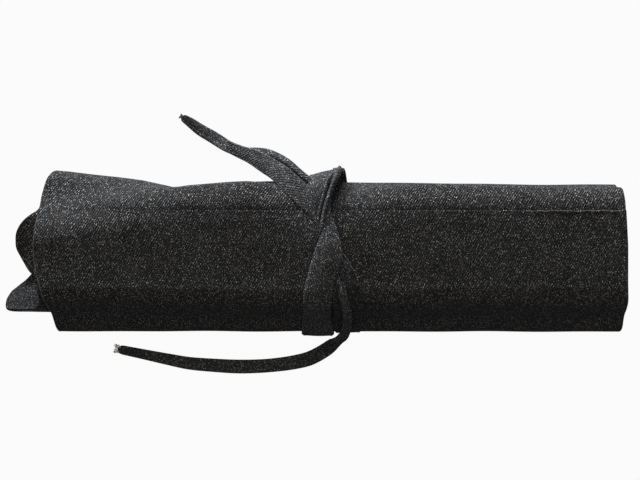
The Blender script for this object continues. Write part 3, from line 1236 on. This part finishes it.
class KNIFEROLL_OT_tie(bpy.types.Operator):
    """Strap wound round the roll and crossed on top"""

    bl_idname = "kniferoll.tie"
    bl_label = "Strap"

    def execute(self, context):
        rolled = RolledCloth(context.scene.knife_roll_cloth)
        thickness = context.scene.knife_roll_tie.band_thickness
        over = band(rolled, "strap_over", OVER_BEHIND, OVER_KNOT, OVER_FRONT, thickness)
        under = band(rolled, "strap_under", UNDER_BEHIND, UNDER_KNOT, UNDER_FRONT, thickness)
        loose = [ribbon(name, *free_rows(rows), thickness) for name, rows in LOOSE_FOLDS.items()]
        spots = np.zeros(3 * len(under.data.vertices), np.float32)
        under.data.vertices.foreach_get("co", spots)
        mark_inside(under, smooth((SHADE_FROM_Y - spots[1::3]) / SHADE_RAMP))
        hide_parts("tie_band_over")
        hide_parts("tie_band_under")
        for piece in [over, under] + loose:
            finish_piece(piece, "tie")
            lay_flat(piece)
        return {"FINISHED"}


# Lamps: where they stand, where they aim, their size and their colour
LAMPS = {
    "key": ((-0.45, 1.85, 0.16), (0, 0.03, 0.06), (2.2, 0.16), (0.90, 0.95, 1.0)),
    "top": ((-0.1, 0.52, 1.8), (0, 0, 0.03), (1.5, 1.3), (1.0, 0.96, 0.91)),
    "fill": ((-0.5, -1.6, 1.3), (0, 0, 0.03), (1.6, 1.2), (1.0, 0.98, 0.96)),
}
FLOOR_HALF = 4.0
FLOOR_DROP = 0.0002
# How white the floor and the surround look to the camera
FLOOR_WHITE = 0.955
SURROUND_WHITE = 0.957


def area_light(name, power):
    place, towards, size, colour = LAMPS[name]
    data = bpy.data.lights.new(name, "AREA")
    data.shape = "RECTANGLE"
    data.size, data.size_y = size
    data.energy = power
    data.color = colour
    lamp = bpy.data.objects.new(name, data)
    lamp.location = place
    lamp.visible_camera = False
    x, y, z = np.array(towards, float) - np.array(place, float)
    lamp.rotation_euler = (math.atan2(math.hypot(x, y), -z), 0, math.atan2(y, x) - math.pi / 2)
    bpy.context.scene.collection.objects.link(lamp)


def seen_directly(tree):
    """One for rays that show the surface itself: straight from the camera, mirrored or through glass."""
    rays = tree.nodes.new("ShaderNodeLightPath").outputs
    mirrored = calculate(tree, "MAXIMUM", rays["Is Glossy Ray"], rays["Is Transmission Ray"])
    return calculate(tree, "MAXIMUM", rays["Is Camera Ray"], mirrored)


class KNIFEROLL_OT_stage(bpy.types.Operator):
    """Pale floor, soft light and a white surround"""

    bl_idname = "kniferoll.stage"
    bl_label = "Stage"

    def execute(self, context):
        stage = context.scene.knife_roll_stage
        corners = [(x * FLOOR_HALF, y * FLOOR_HALF, 0) for x, y in ((-1, -1), (1, -1), (1, 1), (-1, 1))]
        floor = new_mesh_object("floor", corners, [(0, 1, 2, 3)])
        floor.location = (0, 0, -FLOOR_DROP)
        material = bpy.data.materials.new("pale_floor")
        material.use_nodes = True
        tree = material.node_tree
        tree.nodes.clear()
        matt = add_node(tree, "ShaderNodeBsdfDiffuse", Color=stage.floor)
        glow = add_node(tree, "ShaderNodeEmission", Color=(1, 1, 1, 1), Strength=1.0)
        share = calculate(tree, "MULTIPLY", seen_directly(tree), FLOOR_WHITE)
        mix = add_node(tree, "ShaderNodeMixShader", share, matt.outputs[0], glow.outputs[0])
        add_node(tree, "ShaderNodeOutputMaterial", Surface=mix.outputs[0])
        floor.data.materials.append(material)
        for name in LAMPS:
            area_light(name, getattr(stage, name + "_power"))
        world = bpy.data.worlds.new("surround")
        context.scene.world = world
        world.use_nodes = True
        tree = world.node_tree
        levels = {"To Min": stage.sky, "To Max": SURROUND_WHITE}
        strength = add_node(tree, "ShaderNodeMapRange", seen_directly(tree), **levels)
        background = tree.nodes["Background"]
        feed(tree, background.inputs["Color"], (1, 1, 1, 1))
        feed(tree, background.inputs["Strength"], strength.outputs["Result"])
        context.scene.view_settings.view_transform = "Standard"
        return {"FINISHED"}


SETTINGS = {
    "knife_roll_cloth": KnifeRollCloth,
    "knife_roll_tie": KnifeRollTie,
    "knife_roll_sewing": KnifeRollSewing,
    "knife_roll_look": KnifeRollLook,
    "knife_roll_stage": KnifeRollStage,
}
STEPS = [
    KNIFEROLL_OT_camera, KNIFEROLL_OT_tails, KNIFEROLL_OT_shell, KNIFEROLL_OT_slots, KNIFEROLL_OT_stitches,
    KNIFEROLL_OT_frays, KNIFEROLL_OT_tie, KNIFEROLL_OT_stage,
]


class KNIFEROLL_PT_panel(bpy.types.Panel):
    """Lists the pieces and their sizes"""

    bl_idname = "KNIFEROLL_PT_panel"
    bl_label = "Knife roll"
    bl_space_type = "VIEW_3D"
    bl_region_type = "UI"
    bl_category = "Knife roll"

    def draw(self, context):
        for step in STEPS:
            self.layout.operator(step.bl_idname)
        for name in SETTINGS:
            group = getattr(context.scene, name)
            box = self.layout.box()
            for key in group.__annotations__:
                box.prop(group, key)


def register():
    for name, group in SETTINGS.items():
        bpy.utils.register_class(group)
        setattr(bpy.types.Scene, name, bpy.props.PointerProperty(type=group))
    for step in STEPS:
        bpy.utils.register_class(step)
    bpy.utils.register_class(KNIFEROLL_PT_panel)


def unregister():
    bpy.utils.unregister_class(KNIFEROLL_PT_panel)
    for step in reversed(STEPS):
        bpy.utils.unregister_class(step)
    for name, group in SETTINGS.items():
        delattr(bpy.types.Scene, name)
        bpy.utils.unregister_class(group)


def main():
    register()
    bpy.ops.kniferoll.camera()
    bpy.ops.kniferoll.tails()
    bpy.ops.kniferoll.shell()
    bpy.ops.kniferoll.slots()
    bpy.ops.kniferoll.stitches()
    bpy.ops.kniferoll.frays()
    bpy.ops.kniferoll.tie()
    bpy.ops.kniferoll.stage()


if __name__ == "__main__":
    main()
